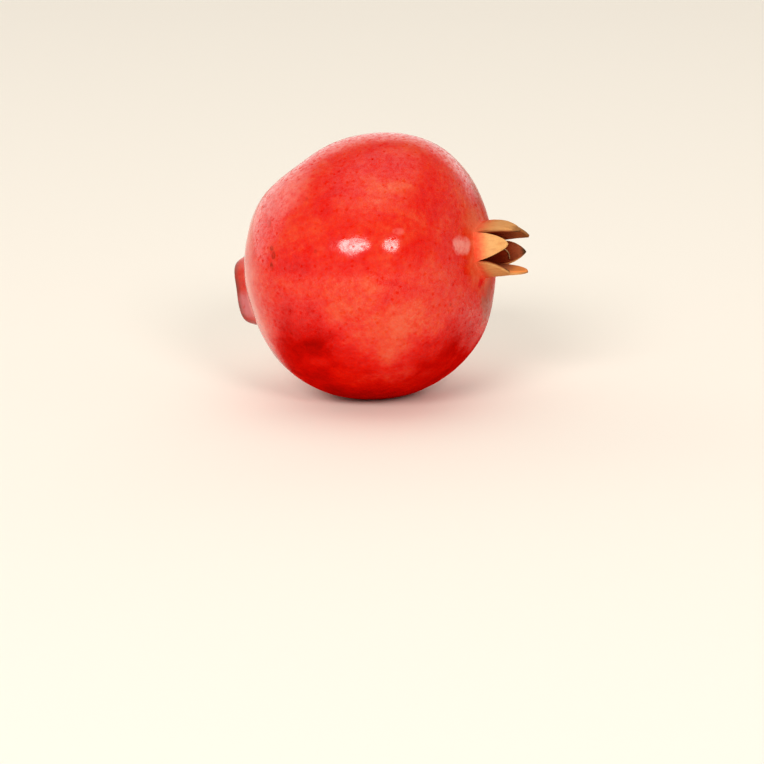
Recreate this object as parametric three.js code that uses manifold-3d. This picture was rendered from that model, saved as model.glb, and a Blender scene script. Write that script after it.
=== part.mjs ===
// A ripe pomegranate lying on its side. The fruit grew as one body: a ribbed rind, a raised boss at the
// stalk end and a calyx crown of six sepals round an open cup. The cut stalk sits in the boss, and a tuft of
// dried stamens stands in the cup. Millimetres, +Z up. The origin is the middle of the flat spot that the
// fruit rests on, and +X runs along the fruit towards its crown.

import * as THREE from "three";
import { mergeVertices } from "three/addons/utils/BufferGeometryUtils.js";
import Module from "manifold-3d";

const wasm = await Module();
wasm.setup();

// How the fruit lies: its axis rises towards the crown, and the underside is pressed flat where it rests.
const AXIS_RISE_DEG = 12;
const CENTRE_HEIGHT = 45;

// The rind, measured from the middle of the fruit. An angle "away" is from the crown's end of the axis,
// and a "turn" goes round the axis: 0 is the underside, 90 the back, 180 the top and 270 the front.
const EQUATOR_RADIUS = 45.1;
const POLE_RADIUS = 41.4;
const SQUARENESS = 2.3; // 2 is an ellipse, and more gives fuller shoulders
const CROWN_END_FULLER = 0.2;
const RIB_COUNT = 6;
const RIB_HEIGHT = 0.5;

// Broad swells of the rind, and hollows where the height is negative, each fading out over its spread.
const SWELLS = [
  { height: 2.5, awayDeg: 47, turnDeg: 185, spreadDeg: 23 },
  { height: -3.5, awayDeg: 114, turnDeg: 188, spreadDeg: 20 },
  { height: -1.1, awayDeg: 48, turnDeg: 350, spreadDeg: 36 },
  { height: 1.6, awayDeg: 92, turnDeg: 5, spreadDeg: 28 },
  { height: -1.2, awayDeg: 75, turnDeg: 60, spreadDeg: 34 },
  { height: 0.9, awayDeg: 105, turnDeg: 285, spreadDeg: 40 },
];

// The boss at the stalk end: a low, flat-topped swelling with round corners and a socket for the stalk.
const BOSS_REACH = 46.2; // from the middle of the fruit to the boss's face
const BOSS_RADIUS = 12.9;
const BOSS_DROOP = 2; // how much further it reaches on the underside
const BOSS_EDGE = 1.8;
const BOSS_CORNERS = 4;
const BOSS_CORNER_REACH = 1;
const BOSS_CORNER_TURN_DEG = 45;
const SOCKET_RADIUS = 3.6;
const SOCKET_EDGE = 0.5;
const SOCKET_DEPTH = 2.2;

// The crown: a short neck that sweeps up out of the rind, six sepals, and the cup inside them.
const NECK_FOOT_RADIUS = 14.5;
const CROWN_ROOT = 42.7; // from the middle of the fruit to where the sepals part
const CROWN_RADIUS = 9.1;
const CROWN_FLATNESS = 0.5; // 0 gives a round root, and 1 a flat side under each sepal
const CROWN_TILT = 1.2; // how much deeper the sepals part on one side, and shallower on the other
const TILT_TURN_DEG = 285;
const CROWN_SKEW_DEG = 9; // how far the sepals crowd round towards the underside, most at the skew's turn
const SKEW_TURN_DEG = 105;
const NOTCH_LIP = 0.4;
const SEPAL_BELLY = 0.1;
const SEPAL_GAP = 0.06; // the share of its width by which a sepal draws in from its neighbours
const SEPAL_GAP_FROM = 0.12; // the share of its length at which it has drawn in
const SEPAL_ROOT_THICK = 2.2;
const SEPAL_TIP_THICK = 1.1;
const SEPAL_RIM_ROUND = 0.5;
const CUP_DEPTH = 8.9;
const CROWN_DROOP = 1.6; // how far the sepals' tips bend towards the underside

// The sepals in order round the axis, the front one first: length above the notch, how far the tip leans in
// towards the axis, how far it leans sideways round the axis, how long it stays wide, and how pointed its
// end is.
const FIRST_SEPAL_TURN_DEG = 255;
const SEPALS = [
  { length: 11.4, tipIn: 0.9, sideDeg: -9, full: 1.6, point: 0.55 },
  { length: 9.6, tipIn: -0.1, sideDeg: 4, full: 1.5, point: 0.65 },
  { length: 12.7, tipIn: 0.3, sideDeg: -3, full: 1.5, point: 0.48 },
  { length: 10.6, tipIn: 1.9, sideDeg: 4, full: 2.5, point: 0.75 },
  { length: 13.4, tipIn: 3.5, sideDeg: 5, full: 2.7, point: 0.5 },
  { length: 13.6, tipIn: 1.9, sideDeg: 4, full: 1.8, point: 0.6 },
];

// The cut stalk stands in its socket, a little proud of the boss.
const STALK_RADIUS = 2.7;
const STALK_ROOT_RADIUS = 2.5;
const STALK_LENGTH = 4;
const STALK_SIDES = 12;

// The dried stamens stand on a small cushion in the cup, clear of its wall, round one thicker style.
const STAMEN_COUNT = 34;
const STAMEN_LENGTHS = [4.5, 6];
const STAMEN_THICK = 0.7;
const STAMEN_SIDES = 3;
const STAMEN_RING_RADIUS = 4.2;
const STAMEN_LEANS_DEG = [6, 16]; // of the outermost stamens; those nearer the middle lean less
const ANTHER_RADIUS = 0.62;
const STYLE_LENGTH = 7;
const STYLE_THICK = 1.3;
const STYLE_SIDES = 6;
const STIGMA_RADIUS = 0.9;
const THREAD_TAPER = 0.7; // a thread's thickness at its end, as a share of that at its root
const CUSHION_RADIUS = 5.4;
const CUSHION_TOP_RADIUS = 4.3;
const CUSHION_HEIGHT = 1.6;
const CUSHION_SIDES = 16;
const CUSHION_UNDERSIDE_STEPS = 3;

const GAP = 0.3; // between pieces that touch
const RANDOM_SEED = 7;

// How finely the fruit's surface is divided.
const COLUMNS_PER_HALF_SEPAL = 6;
const SOCKET_ROWS = 3;
const BOSS_FACE_ROWS = 2;
const BOSS_WALL_ROWS = 6;
const FLANK_ROWS = 24;
const NECK_ROWS = 6;
const SEPAL_ROWS = 4;
const CUP_ROWS = 5;

const { degToRad, lerp, smoothstep } = THREE.MathUtils;
const QUARTER_TURN = Math.PI / 2;
const GOLDEN_ANGLE = Math.PI * (3 - Math.sqrt(5));
const SECTOR = (2 * Math.PI) / SEPALS.length;
const FIRST_SEPAL_TURN = degToRad(FIRST_SEPAL_TURN_DEG);
const BOSS_CORNER_TURN = degToRad(BOSS_CORNER_TURN_DEG);
const TILT_TURN = degToRad(TILT_TURN_DEG);
const CROWN_SKEW = degToRad(CROWN_SKEW_DEG);
const SKEW_TURN = degToRad(SKEW_TURN_DEG);
const CUP_FLOOR = CROWN_ROOT - CUP_DEPTH;

const lyingTurn = new THREE.Quaternion().setFromAxisAngle(
  new THREE.Vector3(0, 1, 0),
  QUARTER_TURN - degToRad(AXIS_RISE_DEG),
);

/** The unit vector at an angle away from the crown and a turn round the axis, in the fruit's own frame. */
function direction(away, turn) {
  return new THREE.Vector3(
    Math.sin(away) * Math.cos(turn),
    Math.sin(away) * Math.sin(turn),
    Math.cos(away),
  );
}

const swells = SWELLS.map(({ height, awayDeg, turnDeg, spreadDeg }) => ({
  height,
  towards: direction(degToRad(awayDeg), degToRad(turnDeg)),
  sharpness: 2 / degToRad(spreadDeg) ** 2,
}));

/** 1 inside a radius and 0 outside it, with an S-shaped edge of the given half width. */
function plateau(radius, middle, edge) {
  return 1 - smoothstep(radius, middle - edge, middle + edge);
}

/** Evenly spaced values from just after one end up to the other. */
function steps(from, to, count) {
  return Array.from({ length: count }, (_, i) => lerp(from, to, (i + 1) / count));
}

/** How far the plain rind lies from the middle of the fruit: a squarish round with ribs and swells. */
function rindRadius(away, turn) {
  const power = SQUARENESS + CROWN_END_FULLER * Math.cos(away);
  const acrossShare = (Math.abs(Math.sin(away)) / EQUATOR_RADIUS) ** power;
  const alongShare = (Math.abs(Math.cos(away)) / POLE_RADIUS) ** power;
  const round = (acrossShare + alongShare) ** (-1 / power);
  const ribs = RIB_HEIGHT * Math.sin(away) ** 2 * Math.cos(RIB_COUNT * (turn - FIRST_SEPAL_TURN));
  const here = direction(away, turn);
  return swells.reduce(
    (radius, { height, towards, sharpness }) =>
      radius + height * Math.exp(sharpness * (here.dot(towards) - 1)),
    round + ribs,
  );
}

function rindPoint(away, turn) {
  return direction(away, turn).multiplyScalar(rindRadius(away, turn));
}

/** How far from the axis the boss's wall stands: it droops to the underside and has round corners. */
function bossEdge(turn) {
  const corners = BOSS_CORNER_REACH * Math.cos(BOSS_CORNERS * (turn - BOSS_CORNER_TURN));
  return BOSS_RADIUS + BOSS_DROOP * Math.cos(turn) + corners;
}

/** The angle away from the crown at which the plain rind of the stalk end is at a radius from the axis. */
function stalkEndAway(radius) {
  return Math.PI - Math.asin(radius / POLE_RADIUS);
}

/** A point of the stalk end at a radius from the axis: rind, raised to the boss and sunk in its socket. */
function stalkEndPoint(radius, turn) {
  const point = rindPoint(stalkEndAway(radius), turn);
  point.z = lerp(point.z, -BOSS_REACH, plateau(radius, bossEdge(turn), BOSS_EDGE));
  point.z += SOCKET_DEPTH * plateau(radius, SOCKET_RADIUS, SOCKET_EDGE);
  return point;
}

/** A point of the neck: sweep 0 is its foot on the rind, a quarter turn its top, where the sepals part. */
function neckPoint(sweep, { turn, across }) {
  const rindRadiusHere = lerp(NECK_FOOT_RADIUS, CROWN_RADIUS, Math.sin(sweep));
  const rind = rindPoint(Math.asin(rindRadiusHere / POLE_RADIUS), turn);
  const climb = 1 - Math.cos(sweep);
  const facet = lerp(1, 1 / Math.cos((across * SECTOR) / 2), CROWN_FLATNESS);
  const radius = lerp(Math.hypot(rind.x, rind.y), CROWN_RADIUS * facet, climb);
  const top = CROWN_ROOT - CROWN_TILT * Math.cos(turn - TILT_TURN);
  return new THREE.Vector3(radius * Math.cos(turn), radius * Math.sin(turn), lerp(rind.z, top, climb));
}

/** How far across its half of the sector a sepal's edge lies, at a rise that is a share of its length. */
function sepalEdge(rise, { full, point }) {
  const drawnIn = SEPAL_GAP * Math.min(1, rise / SEPAL_GAP_FROM);
  return (1 - rise ** full) ** point * (1 - drawnIn);
}

/** Draws a turn of evenly spread sepals round to where they crowd. */
function skewed(turn) {
  return turn - (CROWN_SKEW / 2) * (1 + Math.cos(turn - SKEW_TURN));
}

/** The meridians of the fruit. Those of a sepal end on its edge, in even steps of height up to its tip. */
function fruitColumns() {
  const n = COLUMNS_PER_HALF_SEPAL;
  return SEPALS.flatMap((sepal, k) =>
    Array.from({ length: 2 * n }, (_, i) => {
      const side = Math.sign(i - n);
      const rise = 1 - Math.abs(i - n) / n;
      const across = sepalEdge(rise, sepal);
      return {
        sepal,
        across,
        turn: skewed(FIRST_SEPAL_TURN + SECTOR * (k + (side * across) / 2)),
        rimHeight: lerp(NOTCH_LIP, sepal.length, rise),
      };
    }),
  );
}

/** A point of a sepal at a height above its root: depth 0 is the outer face, and 1 the inner. */
function sepalPoint(column, height, depth) {
  const { sepal, turn } = column;
  const share = height / sepal.length;
  const root = neckPoint(QUARTER_TURN, column);
  const lean = SEPAL_BELLY * 4 * share * (1 - share) - sepal.tipIn * share ** 2;
  const thickness = lerp(SEPAL_ROOT_THICK, SEPAL_TIP_THICK, share);
  const radius = Math.hypot(root.x, root.y) + lean - depth * thickness;
  const leaningTurn = turn + degToRad(sepal.sideDeg) * share ** 2;
  return new THREE.Vector3(
    radius * Math.cos(leaningTurn) + CROWN_DROOP * share ** 2,
    radius * Math.sin(leaningTurn),
    root.z + height,
  );
}

/** A point of the cup: dip 0 is the foot of the sepals' inner face, a quarter turn the floor's middle. */
function cupPoint(column, dip) {
  const point = sepalPoint(column, 0, 1);
  point.x *= Math.cos(dip);
  point.y *= Math.cos(dip);
  point.z = lerp(point.z, CUP_FLOOR, Math.sin(dip));
  return point;
}

/** The rows of the fruit's surface, from beside the stalk's pole to beside the middle of the cup. */
function fruitRows() {
  const socketEnd = SOCKET_RADIUS + SOCKET_EDGE;
  const neckFoot = Math.asin(NECK_FOOT_RADIUS / POLE_RADIUS);
  const socketRadii = [SOCKET_RADIUS / 2, ...steps(SOCKET_RADIUS - SOCKET_EDGE, socketEnd, SOCKET_ROWS)];
  const bossFace = (share, turn) => lerp(socketEnd, bossEdge(turn) - BOSS_EDGE, share);
  const bossWall = (side, turn) => bossEdge(turn) + side * BOSS_EDGE;
  const flank = (share, turn) => lerp(stalkEndAway(bossWall(1, turn)), neckFoot, share);
  const rim = ({ rimHeight }) => rimHeight - Math.min(SEPAL_RIM_ROUND, rimHeight / 3);
  const sepalShares = steps(0, 1, SEPAL_ROWS);
  const cupDips = steps(0, QUARTER_TURN, CUP_ROWS).slice(0, -1);
  return [
    ...socketRadii.map((radius) => ({ turn }) => stalkEndPoint(radius, turn)),
    ...steps(0, 1, BOSS_FACE_ROWS).map((share) => ({ turn }) => stalkEndPoint(bossFace(share, turn), turn)),
    ...steps(-1, 1, BOSS_WALL_ROWS).map((side) => ({ turn }) => stalkEndPoint(bossWall(side, turn), turn)),
    ...steps(0, 1, FLANK_ROWS).map((share) => ({ turn }) => rindPoint(flank(share, turn), turn)),
    ...steps(0, QUARTER_TURN, NECK_ROWS).map((sweep) => (column) => neckPoint(sweep, column)),
    ...sepalShares.map((share) => (column) => sepalPoint(column, rim(column) * share, 0)),
    (column) => sepalPoint(column, column.rimHeight, 0.5),
    ...sepalShares.toReversed().map((share) => (column) => sepalPoint(column, rim(column) * share, 1)),
    (column) => sepalPoint(column, 0, 1),
    ...cupDips.map((dip) => (column) => cupPoint(column, dip)),
  ];
}

/** A closed surface through rows of points, each a ring round the axis, with one point at either end. */
function closedRings(firstPole, rings, lastPole) {
  const width = rings[0].length;
  const points = [firstPole, ...rings.flat(), lastPole];
  const at = (row, column) => 1 + row * width + (column % width);
  const lastRow = rings.length - 1;
  const index = [];
  for (let c = 0; c < width; c++) {
    index.push(0, at(0, c + 1), at(0, c));
    for (let r = 0; r < lastRow; r++) {
      index.push(at(r, c), at(r, c + 1), at(r + 1, c + 1));
      index.push(at(r, c), at(r + 1, c + 1), at(r + 1, c));
    }
    index.push(at(lastRow, c), at(lastRow, c + 1), points.length - 1);
  }
  return new THREE.BufferGeometry().setFromPoints(points).setIndex(index);
}

/** Presses the points that would lie below the resting plane up onto it. */
function pressFlat(point) {
  const up = new THREE.Vector3(0, 0, 1).applyQuaternion(lyingTurn.clone().invert());
  const below = -CENTRE_HEIGHT - point.dot(up);
  return below > 0 ? point.addScaledVector(up, below) : point;
}

function fruitGeometry() {
  const columns = fruitColumns();
  const rings = fruitRows().map((pointOf) => columns.map((column) => pressFlat(pointOf(column))));
  const stalkPole = stalkEndPoint(0, 0);
  const cupPole = new THREE.Vector3(0, 0, CUP_FLOOR);
  return closedRings(stalkPole, rings, cupPole);
}

/** A three.js geometry as a solid that can be joined and cut. */
function solidOf(geometry) {
  const bare = geometry.clone();
  bare.deleteAttribute("normal");
  bare.deleteAttribute("uv");
  const merged = mergeVertices(bare);
  return new wasm.Manifold(
    new wasm.Mesh({
      numProp: 3,
      vertProperties: merged.attributes.position.array,
      triVerts: new Uint32Array(merged.index.array),
    }),
  );
}

function geometryOf(solid) {
  const { vertProperties, triVerts } = solid.getMesh();
  return new THREE.BufferGeometry()
    .setAttribute("position", new THREE.BufferAttribute(vertProperties, 3))
    .setIndex(new THREE.BufferAttribute(triVerts, 1));
}

/** A seeded source of numbers from 0 to 1. */
function seededRandom(seed) {
  let state = seed;
  return () => {
    state = (state * 16807) % 2147483647;
    return state / 2147483647;
  };
}

/** A thread that tapers from its root at the origin up the +Z axis, with a knob on its end. */
function threadSolid(length, thickness, sides, knobRadius) {
  const rootRadius = thickness / 2;
  const shaft = new THREE.CylinderGeometry(rootRadius * THREAD_TAPER, rootRadius, length, sides)
    .rotateX(QUARTER_TURN)
    .translate(0, 0, length / 2);
  const knob = new THREE.OctahedronGeometry(knobRadius).translate(0, 0, length);
  return solidOf(shaft).add(solidOf(knob));
}

/** The tuft: a low cushion that follows the cup's floor, stamens set out in a spiral, and the style. */
function stamensGeometry() {
  const random = seededRandom(RANDOM_SEED);
  const cupRadius = CROWN_RADIUS - SEPAL_ROOT_THICK;
  const cupWall = CUP_DEPTH + CROWN_TILT;
  const under = (radius) => cupWall * (1 - Math.sqrt(1 - (radius / cupRadius) ** 2)) + GAP;
  const profile = [
    ...[0, ...steps(0, CUSHION_RADIUS, CUSHION_UNDERSIDE_STEPS)].map((radius) => [radius, under(radius)]),
    [CUSHION_TOP_RADIUS, under(CUSHION_RADIUS) + CUSHION_HEIGHT / 2],
    [0, under(0) + CUSHION_HEIGHT],
  ].map(([radius, height]) => new THREE.Vector2(radius, height));
  let tuft = solidOf(new THREE.LatheGeometry(profile, CUSHION_SIDES).rotateX(QUARTER_TURN));
  for (let i = 0; i < STAMEN_COUNT; i++) {
    const share = Math.sqrt((i + 0.5) / STAMEN_COUNT);
    const lean = degToRad(lerp(...STAMEN_LEANS_DEG, random())) * share;
    const out = STAMEN_RING_RADIUS * share;
    const place = new THREE.Matrix4()
      .makeRotationZ(i * GOLDEN_ANGLE)
      .multiply(new THREE.Matrix4().makeTranslation(out, 0, under(out) + STAMEN_THICK))
      .multiply(new THREE.Matrix4().makeRotationY(lean));
    const length = lerp(...STAMEN_LENGTHS, random());
    tuft = tuft.add(
      threadSolid(length, STAMEN_THICK, STAMEN_SIDES, ANTHER_RADIUS).transform(place.elements),
    );
  }
  const style = threadSolid(STYLE_LENGTH, STYLE_THICK, STYLE_SIDES, STIGMA_RADIUS);
  return geometryOf(tuft.add(style.translate(0, 0, GAP + CUSHION_HEIGHT / 2))).translate(0, 0, CUP_FLOOR);
}

/** The cut stalk, a little wider at the cut, standing on the floor of its socket. */
function stalkGeometry() {
  const floor = -BOSS_REACH + SOCKET_DEPTH - GAP;
  return new THREE.CylinderGeometry(STALK_RADIUS, STALK_ROOT_RADIUS, STALK_LENGTH, STALK_SIDES)
    .rotateX(-QUARTER_TURN)
    .translate(0, 0, floor - STALK_LENGTH / 2);
}

function piece(name, geometry, colour, roughness) {
  geometry.computeVertexNormals();
  const material = new THREE.MeshStandardMaterial({ color: colour, roughness, metalness: 0 });
  const mesh = new THREE.Mesh(geometry, material);
  mesh.name = name;
  return mesh;
}

const lying = new THREE.Group();
lying.quaternion.copy(lyingTurn);
lying.position.z = CENTRE_HEIGHT;
lying.add(
  piece("fruit", fruitGeometry(), 0xd9301c, 0.35),
  piece("stamens", stamensGeometry(), 0x6b4423, 0.9),
  piece("stalk", stalkGeometry(), 0x8a6a45, 0.85),
);

const pomegranate = new THREE.Group();
pomegranate.add(lying);

export default pomegranate;
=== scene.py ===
"""A ripe pomegranate lying on its side, on a pale floor in soft studio light.

Rind, boss and calyx crown are one surface, grown by Geometry Nodes from the solid's own rule, but finer.
The dried stamens and the cut stalk are grown in the same way. Metres, +Z up, in the solid's frame.
"""

import math

import bpy
from mathutils import Matrix, Vector


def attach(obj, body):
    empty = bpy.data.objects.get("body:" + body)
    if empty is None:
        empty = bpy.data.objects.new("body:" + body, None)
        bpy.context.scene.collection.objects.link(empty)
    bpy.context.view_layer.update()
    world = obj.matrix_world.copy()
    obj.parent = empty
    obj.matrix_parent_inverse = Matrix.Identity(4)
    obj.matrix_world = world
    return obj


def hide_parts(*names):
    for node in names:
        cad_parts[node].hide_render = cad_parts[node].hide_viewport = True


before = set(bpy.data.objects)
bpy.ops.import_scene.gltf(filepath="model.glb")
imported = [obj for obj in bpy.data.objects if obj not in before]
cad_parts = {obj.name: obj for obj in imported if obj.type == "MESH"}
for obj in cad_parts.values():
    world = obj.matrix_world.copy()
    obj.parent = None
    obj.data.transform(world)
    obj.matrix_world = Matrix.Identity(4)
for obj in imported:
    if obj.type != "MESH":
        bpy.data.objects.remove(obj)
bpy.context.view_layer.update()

MM = 0.001


def srgb(red, green, blue):
    """A colour as a screen shows it, from 0 to 255, in the linear values that shaders use."""
    shares = [value / 255 for value in (red, green, blue)]
    linear = [s / 12.92 if s <= 0.04045 else ((s + 0.055) / 1.055) ** 2.4 for s in shares]
    return (*linear, 1.0)


# How the fruit lies: its axis rises towards the crown, and the underside is pressed flat where it rests.
AXIS_RISE = math.radians(12)
CENTRE_HEIGHT = 45 * MM
FRUIT_CENTRE = Vector((0, 0, CENTRE_HEIGHT))
PRESS_ROUND = 0.5 * MM

# The rind. An angle "away" is from the crown's end of the axis, and a "turn" goes round the axis:
# 0 is the underside, 90 degrees the back, 180 the top and 270 the front.
EQUATOR_RADIUS = 45.1 * MM
POLE_RADIUS = 41.4 * MM
SQUARENESS = 2.3
CROWN_END_FULLER = 0.2
RIB_COUNT = 6
RIB_HEIGHT = 0.5 * MM
LUMP_HEIGHT = 0.6 * MM
LUMPS_PER_RADIUS = 3.2
SWELLS = [
    {"height": 2.5 * MM, "away": 47, "turn": 185, "spread": 23},
    {"height": -3.5 * MM, "away": 114, "turn": 188, "spread": 20},
    {"height": -1.1 * MM, "away": 48, "turn": 350, "spread": 36},
    {"height": 1.6 * MM, "away": 92, "turn": 5, "spread": 28},
    {"height": -1.2 * MM, "away": 75, "turn": 60, "spread": 34},
    {"height": 0.9 * MM, "away": 105, "turn": 285, "spread": 40},
]

# The boss at the stalk end, with the stalk's socket in its middle.
BOSS_REACH = 46.2 * MM
BOSS_RADIUS = 12.9 * MM
BOSS_DROOP = 2.0 * MM
BOSS_EDGE = 1.8 * MM
BOSS_CORNERS = 4
BOSS_CORNER_REACH = 1.0 * MM
BOSS_CORNER_TURN = math.radians(45)
SOCKET_RADIUS = 3.6 * MM
SOCKET_EDGE = 0.5 * MM
SOCKET_DEPTH = 2.2 * MM

# The crown: neck, sepals and cup. Sepals go round the axis from the front one.
NECK_FOOT_RADIUS = 14.5 * MM
CROWN_ROOT = 42.7 * MM
CROWN_RADIUS = 9.1 * MM
CROWN_FLATNESS = 0.5
CROWN_TILT = 1.2 * MM
TILT_TURN = math.radians(285)
CROWN_SKEW = math.radians(9)
SKEW_TURN = math.radians(105)
NOTCH_LIP = 0.4 * MM
SEPAL_BELLY = 0.1 * MM
SEPAL_GAP = 0.06
SEPAL_GAP_FROM = 0.12
SEPAL_ROOT_THICK = 2.2 * MM
SEPAL_TIP_THICK = 1.1 * MM
SEPAL_RIM_ROUND = 0.5 * MM
SEPAL_RIM_PARTS = 3
SEPAL_WAVES = 0.12
SEPAL_WAVE_NOISE = {"scale": 7, "detail": 3}
SEPAL_FIBRES = 0.3 * MM
SEPAL_FIBRES_FULL = 0.3
SEPAL_FIBRE_CHANGE = 0.12
SEPAL_FIBRE_NOISE = {"scale": 22, "detail": 3}
CUP_DEPTH = 8.9 * MM
CROWN_DROOP = 1.6 * MM
FIRST_SEPAL_TURN = math.radians(255)

# Each sepal's length, its tip's lean, its outline's fullness and point, its dryness and its pale inside.
SEPAL_VALUES = ("length", "tip_in", "side_deg", "full", "point", "dry", "pale")
SEPALS = [
    dict(zip(SEPAL_VALUES, (11.4 * MM, 0.9 * MM, -9, 1.6, 0.55, 0.0, 0.0))),
    dict(zip(SEPAL_VALUES, (9.6 * MM, -0.1 * MM, 4, 1.5, 0.65, 0.2, 0.0))),
    dict(zip(SEPAL_VALUES, (12.7 * MM, 0.3 * MM, -3, 1.5, 0.48, 0.5, 1.0))),
    dict(zip(SEPAL_VALUES, (10.6 * MM, 1.9 * MM, 4, 2.5, 0.75, 1.0, 0.0))),
    dict(zip(SEPAL_VALUES, (13.4 * MM, 3.5 * MM, 5, 2.7, 0.5, 0.8, 0.3))),
    dict(zip(SEPAL_VALUES, (13.6 * MM, 1.9 * MM, 4, 1.8, 0.6, 0.6, 0.0))),
]
SECTOR = math.tau / len(SEPALS)
CUP_FLOOR = CROWN_ROOT - CUP_DEPTH

# How finely the fruit's surface is divided, along each stretch of a meridian and round the axis.
SURFACE_ROWS = {
    "socket floor": 4,
    "socket wall": 8,
    "boss face": 12,
    "boss wall": 14,
    "flank": 120,
    "neck": 28,
    "sepal outside": 30,
    "sepal rim": 8,
    "sepal inside": 24,
    "cup": 16,
}
COLUMNS_PER_SEPAL = 48
MERGE_DISTANCE = 0.002 * MM

# The dried stamens: threads with anthers on a low cushion in the cup, round a longer style.
GAP = 0.3 * MM
STAMEN_COUNT = 46
STAMEN_RING_RADIUS = 4.3 * MM
STAMEN_LENGTHS = (4.2 * MM, 6.2 * MM)
STAMEN_THICK = 0.42 * MM
STAMEN_LEANS = (math.radians(4), math.radians(18))
STAMEN_LEAN_SPREAD = 0.08
STAMEN_CURL = 0.22
STAMEN_CURL_NOISE = {"scale": 320, "detail": 1, "stretch": (1, 1, 0.6), "out": "Color"}
ANTHER_RADIUS = 0.52 * MM
STYLE_LENGTH = 7 * MM
STYLE_THICK = 1.1 * MM
STIGMA_RADIUS = 0.85 * MM
THREAD_STEPS = 7
THREAD_SIDES = 6
THREAD_TAPER = 0.45
BEAN_SEGMENTS = 10
BEAN_RINGS = 7
BEAN_SHAPE = (0.8, 1.25, 0.75)
STRAY_THREAD = [
    (0.5 * MM, 3.2 * MM, 40 * MM),
    (0.2 * MM, 8 * MM, 48.6 * MM),
    (5.2 * MM, 4.9 * MM, 48.4 * MM),
]
STRAY_THICK = 0.35 * MM
CUSHION_RADIUS = 5.4 * MM
CUSHION_HEIGHT = 1.6 * MM
CUSHION_DOME_POWER = 4
CUSHION_ROWS = 12
CUSHION_COLUMNS = 48
GOLDEN_ANGLE = math.pi * (3 - math.sqrt(5))
RANDOM_SEED = 7

# The cut stalk in the boss's socket.
STALK_RADIUS = 2.7 * MM
STALK_ROOT_RADIUS = 2.5 * MM
STALK_LENGTH = 4 * MM
STALK_ROUND = 0.25 * MM
STALK_ROUGHNESS = 0.35 * MM
STALK_BARK_NOISE = {"scale": 3.2, "detail": 4, "roughness": 0.6}
STALK_SAW_NOISE = {"scale": 900, "detail": 2}
STALK_ROWS = {"root": 6, "side": 24, "edge": 5, "cut": 14}
STALK_COLUMNS = 64

# The camera stands where the photograph was taken from, and sees the fruit's centre at a pixel of its frame.
FRAME_PIXELS = 764
CENTRE_PIXEL = (370, 266)
PIXELS_PER_METRE = 2920
CAMERA_DISTANCE = 0.95
CAMERA_AZIMUTH = math.radians(20)
CAMERA_ELEVATION = math.radians(12)
SENSOR_WIDTH = 36.0

# The studio: two soft lamps above the camera, a bright backdrop, a dimmer room and a pale floor.
LAMP_DISTANCE = 4.0
LAMPS = {
    "left_lamp": {"right": -22, "lift": 18.5, "size": (1.85, 1.15), "watts": 78},
    "right_lamp": {"right": 20, "lift": 17, "size": (1.15, 1.05), "watts": 46},
}
LAMP_COLOUR = (1.0, 0.97, 0.94)
BACKDROP_TURN = -161
BACKDROP_EDGE = (0.42, 0.64)
BACKDROP_TOP = (0.5, 0.75)
BACKDROP_LIGHT = (1.5, 1.45, 1.38, 1.0)
DARK_SIDE = (-0.8, -0.1)
DARK_SIDE_RISE = (0.0, 0.45)
DARK_SIDE_LIGHT = 0.45
ROOM_LIGHTS = [
    (0.0, (0.76, 0.73, 0.69)),
    (0.5, (0.40, 0.39, 0.37)),
    (0.82, (0.42, 0.41, 0.39)),
    (0.95, (1.20, 1.16, 1.10)),
]
FLOOR_SIZE = 12.0
FLOOR_COLOUR = srgb(248, 241, 229)
FLOOR_ROUGHNESS = 0.9

# The rind's colours from its deepest red to its palest coral, as linear values.
RIND_STOPS = [
    (0.08, (0.33, 0.002, 0.001)),
    (0.28, (0.54, 0.003, 0.001)),
    (0.42, (0.66, 0.006, 0.001)),
    (0.50, (0.69, 0.018, 0.004)),
    (0.60, (0.71, 0.052, 0.015)),
    (0.76, (0.72, 0.130, 0.056)),
]

# Patches of the rind that are paler or deeper than the rest, by the pixel of the photograph that shows each.
# A patch also moves the rind's level, so deeper ones spread the underside's painted shade and dull its wax.
PATCHES = [
    {"pixel": (405, 187), "radius": 6 * MM, "paler": 0.10},
    {"pixel": (367, 284), "radius": 4 * MM, "paler": 0.08},
    {"pixel": (392, 322), "radius": 16 * MM, "paler": 0.05},
    {"pixel": (340, 300), "radius": 9 * MM, "paler": 0.04},
    {"pixel": (322, 205), "radius": 7 * MM, "paler": -0.10},
    {"pixel": (296, 258), "radius": 9 * MM, "paler": -0.08},
    {"pixel": (400, 290), "radius": 7 * MM, "paler": -0.07},
    {"pixel": (430, 205), "radius": 9 * MM, "paler": -0.06},
    {"pixel": (375, 163), "radius": 12 * MM, "paler": -0.07},
    {"pixel": (304, 330), "radius": 16 * MM, "paler": -0.10},
    # Painted shade, deeper low on the right.
    {"pixel": (446, 346), "radius": 17 * MM, "paler": -0.05},
    {"pixel": (385, 340), "radius": 12 * MM, "paler": 0.05},
    # A painted shadow under the lower sepal.
    {"pixel": (481, 281), "radius": 4 * MM, "paler": -0.18},
]
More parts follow.
